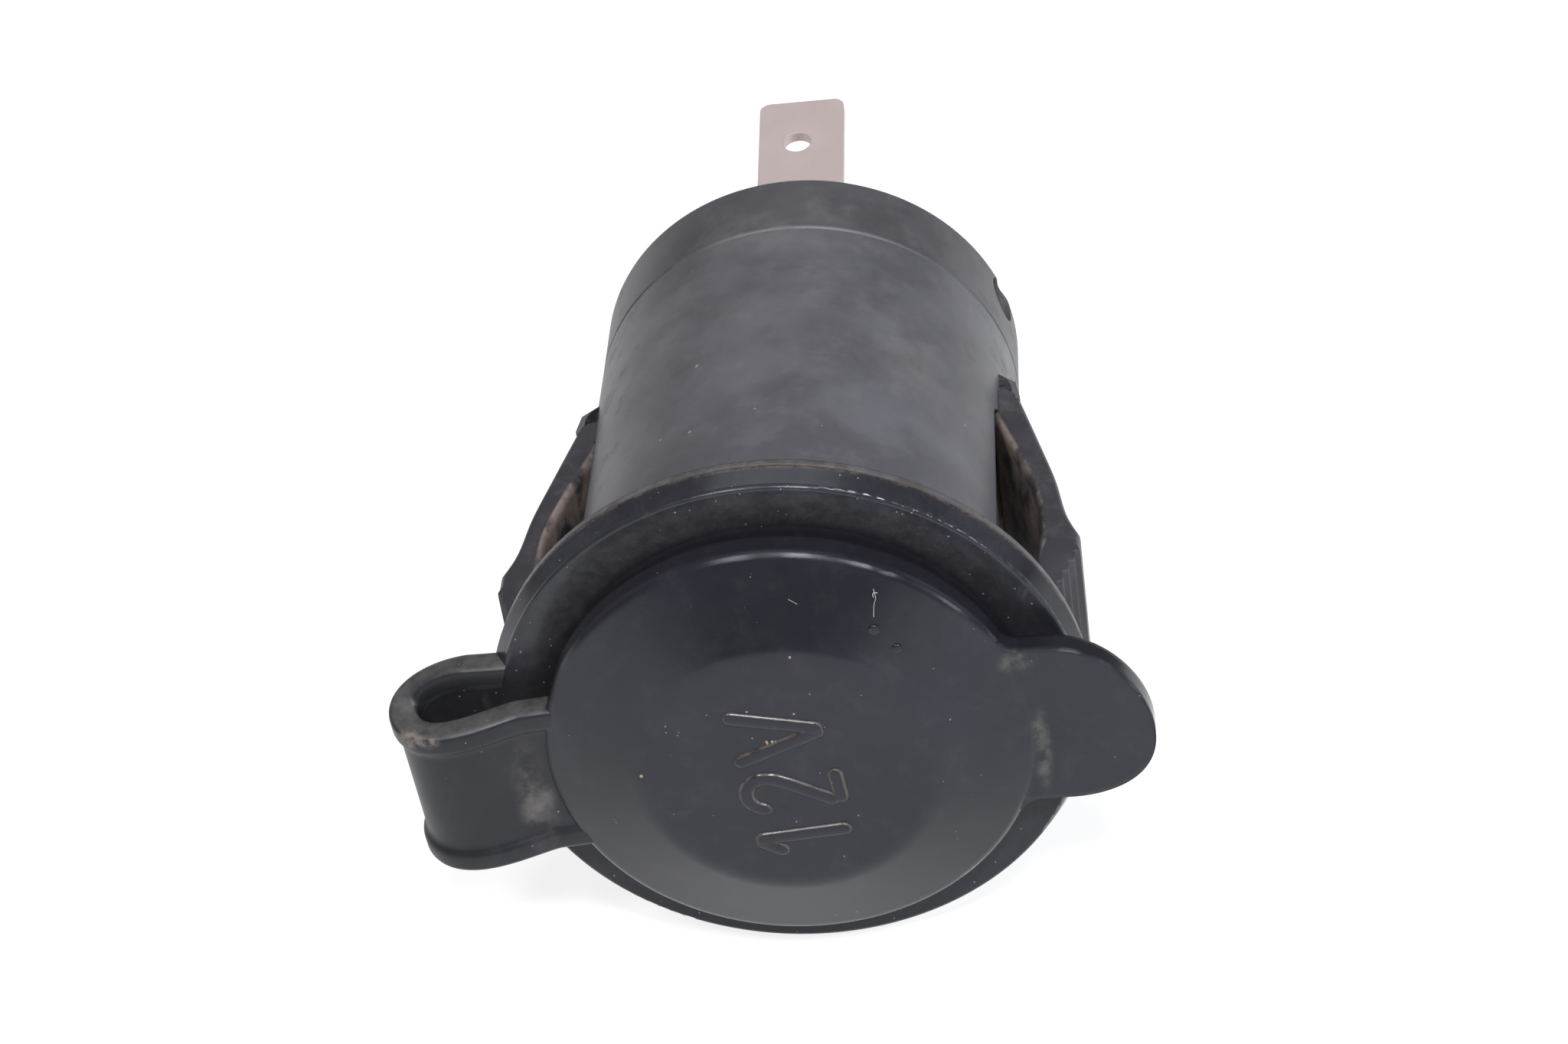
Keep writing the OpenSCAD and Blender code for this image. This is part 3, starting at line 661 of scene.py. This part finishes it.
def face_y(r):
    """How far forward the cap's face is, at a distance from its middle."""
    bend_r = CROWN_R + CROWN_ROUND * math.sin(CAP_TILT)
    if r <= CROWN_R:
        return CROWN_Y
    if r <= bend_r:
        return CROWN_Y + CROWN_ROUND - math.sqrt(CROWN_ROUND ** 2 - (r - CROWN_R) ** 2)
    return CROWN_Y + CROWN_ROUND * (1 - math.cos(CAP_TILT)) + (r - bend_r) * math.tan(CAP_TILT)


def on_cap(x, z, lift=0.0):
    """A place on the cap's face, in the cap's turned frame, lifted off it by so many millimetres."""
    return cap_frame((x, face_y(math.hypot(x, z)) - lift, z))


# The raised mark, 12V. Its places are (along, up): it reads along +Z, and its letters stand towards -X
MARK_HALF_W = 0.5
MARK_H = 0.2
# A stroke's section, as shares of its half width and its height
MARK_EDGE = [(-1.06, -0.3), (-1.0, 0.0), (-0.86, 0.7), (-0.6, 0.97), (0, 1.0)]
MARK_EDGE += [(-w, h) for w, h in reversed(MARK_EDGE[:-1])]
# Places near both ends of a stroke, as shares of its length, that keep its ends round
MARK_ENDS = (0.004, 0.015, 0.03, 0.97, 0.985, 0.996)
MARK_LOW = -2.95


def arc_points(centre, r, a0, a1, n):
    return [
        (centre[0] + r * math.cos(a), centre[1] + r * math.sin(a))
        for a in np.linspace(math.radians(a0), math.radians(a1), n)
    ]


DIGIT_ONE = [[(-5.1, -3.1), (-5.1, 3.25)], [(-6.5, 1.35), (-5.12, 3.2)]]
DIGIT_TWO = [
    arc_points((-1.35, 1.75), 1.3, 185, 5, 16) + [(-0.2, 1.0), (-0.75, 0.1), (-2.75, -2.75)],
    [(-2.85, MARK_LOW), (0.0, MARK_LOW)],
]
LETTER_V = [[(1.45, 3.2), (3.4, MARK_LOW)], [(5.4, 3.15), (3.42, MARK_LOW)]]


def ridge(path):
    """Vertices and faces of one raised stroke with round ends, along a path of (along, up)."""
    pts = [np.array(p, float) for p in path]
    length = [0.0]
    for a, b in zip(pts, pts[1:]):
        length.append(length[-1] + np.linalg.norm(b - a))
    total = length[-1]

    def at(s):
        """The point so far along the path."""
        return np.array([np.interp(s, length, [q[k] for q in pts]) for k in (0, 1)])

    verts = []
    for s in sorted({*np.linspace(0, total, 40), *(total * f for f in MARK_ENDS)}):
        d = at(min(s + 0.2, total)) - at(max(s - 0.2, 0))
        d = d / np.linalg.norm(d)
        across = np.array([-d[1], d[0]])
        end = min(s, total - s, MARK_HALF_W)
        shrink = math.sqrt(max(1 - (1 - end / MARK_HALF_W) ** 2, 0.02))
        height = MARK_H * (0.3 + 0.7 * shrink)
        p = at(s)
        for w, h in MARK_EDGE:
            along, up = p + across * w * MARK_HALF_W * shrink
            verts.append(cap_frame((-up, CROWN_Y - h * height, along)))
    n = len(MARK_EDGE)
    return verts, ring_faces(len(verts) // n, n, closed=False)


def voltage_mark():
    verts, faces = [], []
    for path in DIGIT_ONE + DIGIT_TWO + LETTER_V:
        v, f = ridge(path)
        faces += [tuple(i + len(verts) for i in face) for face in f]
        verts += v
    ob = new_mesh("voltage_mark", verts, faces, M_MARK)
    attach(ob, "cap")


voltage_mark()


# Lint, blisters and crumbs on the cap's face
def fibre(name, places, radius):
    """A thread of lint, as a thin round curve through places of (x, z, lift) on the cap's face."""
    curve = bpy.data.curves.new(name, "CURVE")
    curve.dimensions = "3D"
    curve.bevel_depth = radius * MM
    curve.bevel_resolution = 1
    line = smooth_line([tuple(on_cap(*place)) for place in places], 4)
    spline = curve.splines.new("POLY")
    spline.points.add(len(line) - 1)
    for point, place in zip(spline.points, line):
        point.co = (*place, 1)
    curve.materials.append(M_LINT)
    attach(add_object(name, curve), "cap")


fibre("lint_cap", [(7.95, 12.3, 0.05), (8.0, 11.8, 0.16), (7.8, 11.3, 0.06), (7.65, 10.6, 0.05)], 0.02)
fibre("lint_cap_loop", [(8.15, 12.0, 0.06), (7.9, 12.1, 0.14), (7.85, 11.8, 0.06)], 0.026)
fibre("lint_cap_short", [(2.7, 12.9, 0.04), (3.2, 12.5, 0.05)], 0.014)


def lumps(name, spots, mat):
    """Small flattened domes: each spot is a place (x, z) on the cap's face, a radius and a height."""
    draft = bmesh.new()
    for (x, z), r, h in spots:
        made = bmesh.ops.create_uvsphere(draft, u_segments=14, v_segments=8, radius=1.0)["verts"]
        centre = on_cap(x, z)
        for v in made:
            v.co = Vector((v.co.x * r * MM, v.co.y * h * MM, v.co.z * r * MM)) + centre
    mesh = bpy.data.meshes.new(name)
    draft.to_mesh(mesh)
    draft.free()
    mesh.materials.append(mat)
    mesh.shade_smooth()
    ob = add_object(name, mesh)
    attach(ob, "cap")
    return ob


blisters = lumps("blisters", [((7.5, 9.75), 0.42, 0.13), ((8.65, 8.15), 0.38, 0.12)], M_RUBBER)

# A cluster of crumbs on the crown, and four that lie by themselves
dice = random.Random(12)
crumbs = [
    ((dice.uniform(-0.9, 0.8), 2.7 + dice.uniform(-0.3, 0.3)), dice.uniform(0.05, 0.13), 0.08)
    for _ in range(9)
]
crumbs += [
    ((2.1, 9.4), 0.09, 0.07), ((-9.35, 1.5), 0.12, 0.09),
    ((-1.5, 5.6), 0.07, 0.06), ((1.4, 4.9), 0.08, 0.06),
]
lumps("crumbs", crumbs, M_CRUMB)


# Camera, fitted to the outlines of the photo
PHOTO_WIDTH_PX = 2048
FOCAL_PX = 4573.62
SENSOR_WIDTH = 36.0
ELEVATION, YAW, ROLL = math.radians(36.5), math.radians(-7.65), math.radians(-8.95)
DIST, SHIFT_RIGHT, SHIFT_UP = 230.0, -0.58, 11.71


def photo_camera():
    """The camera at the photo's viewing angle."""
    flat = math.cos(ELEVATION)
    ahead = Vector((math.sin(YAW) * flat, math.cos(YAW) * flat, -math.sin(ELEVATION)))
    level = Vector((math.cos(YAW), -math.sin(YAW), 0))
    upright = level.cross(ahead)
    right = level * math.cos(ROLL) + upright * math.sin(ROLL)
    up = upright * math.cos(ROLL) - level * math.sin(ROLL)
    cam = add_object("camera", bpy.data.cameras.new("camera"))
    pose = Matrix((right, up, -ahead)).transposed().to_4x4()
    pose.translation = (-DIST * ahead + SHIFT_RIGHT * right + SHIFT_UP * up) * MM
    cam.matrix_world = pose
    cam.data.sensor_width = SENSOR_WIDTH
    cam.data.lens = FOCAL_PX * SENSOR_WIDTH / PHOTO_WIDTH_PX
    cam.data.clip_start = 0.005
    return cam


scene.camera = photo_camera()

# Lamps, with places and sizes in metres and power in watts
LOOK_AT = (0, 0.01, 0)
WHITE = (1, 1, 1)
COOL = (0.93, 0.96, 1.0)


def lamp(name, at, size, power, colour=WHITE):
    """A rectangular lamp that looks at the part."""
    light = bpy.data.lights.new(name, "AREA")
    light.shape = "RECTANGLE"
    light.size, light.size_y = size
    light.energy = power
    light.color = colour
    ob = add_object(name, light)
    ob.location = at
    ob.rotation_euler = (Vector(LOOK_AT) - Vector(at)).to_track_quat("-Z", "Y").to_euler()


# The first four stand where the edges of cap and rim mirror them towards the camera
lamp("top_left_light", (-0.127, -0.277, 0.398), (0.10, 0.06), 0.85)
lamp("top_light", (0.07, -0.289, 0.404), (0.10, 0.06), 1.65)
lamp("top_right_light", (0.253, -0.277, 0.332), (0.10, 0.06), 1.0, (0.90, 0.94, 1.0))
lamp("side_light", (0.452, -0.239, 0.143), (0.08, 0.06), 0.5, (0.82, 0.9, 1.0))
lamp("overhead_light", (0.0, 0.0, 0.52), (0.36, 0.16), 0.36)
lamp("left_light", (-0.45, 0.20, 0.20), (0.3, 0.3), 0.08, COOL)
lamp("right_light", (0.45, 0.20, 0.20), (0.3, 0.3), 0.2, COOL)


def studio_world(colour, strength):
    """A faint even light from all round."""
    world = bpy.data.worlds.new("studio")
    world.use_nodes = True
    tree = world.node_tree
    tree.nodes.clear()
    out = tree.nodes.new("ShaderNodeOutputWorld")
    sky = tree.nodes.new("ShaderNodeBackground")
    sky.inputs["Color"].default_value = (*colour, 1)
    sky.inputs["Strength"].default_value = strength
    tree.links.new(sky.outputs[0], out.inputs[0])
    return world


scene.world = studio_world((0.93, 0.95, 1.0), 0.17)

# The floor lies just under the rim. It is 4 metres wide, so that it fills the view
FLOOR_Z = -BEZEL_R - 0.2
FLOOR_SIZE = 4.0


def floor_material():
    """Pale grey to the light that strikes it.

    Seen directly, mirrored or through glass it is near white, with the part's soft shadow left in.
    """
    mat = bpy.data.materials.new("floor_white")
    mat.use_nodes = True
    tree = mat.node_tree
    tree.nodes.clear()

    def node(kind, *links):
        made = tree.nodes.new("ShaderNode" + kind)
        for socket, source in enumerate(links):
            tree.links.new(source, made.inputs[socket])
        return made

    path = node("LightPath").outputs
    seen = node("Math", path["Is Camera Ray"], path["Is Glossy Ray"])
    seen.operation = "MAXIMUM"
    seen = node("Math", seen.outputs[0], path["Is Transmission Ray"])
    seen.operation = "MAXIMUM"
    grey = node("BsdfDiffuse")
    grey.inputs["Color"].default_value = (0.85, 0.85, 0.85, 1)
    shadow = node("BsdfDiffuse")
    shadow.inputs["Color"].default_value = (0.3, 0.3, 0.3, 1)
    glow = node("Emission")
    glow.inputs["Color"].default_value = (1, 1, 1, 1)
    glow.inputs["Strength"].default_value = 0.82
    pale = node("AddShader", shadow.outputs[0], glow.outputs[0])
    both = node("MixShader", seen.outputs[0], grey.outputs[0], pale.outputs[0])
    node("OutputMaterial", both.outputs[0])
    return mat


bpy.ops.mesh.primitive_plane_add(size=FLOOR_SIZE, location=(0, 0.2, FLOOR_Z * MM))
floor = bpy.context.object
floor.name = "floor"
floor.data.materials.append(floor_material())

scene.view_settings.view_transform = "Standard"
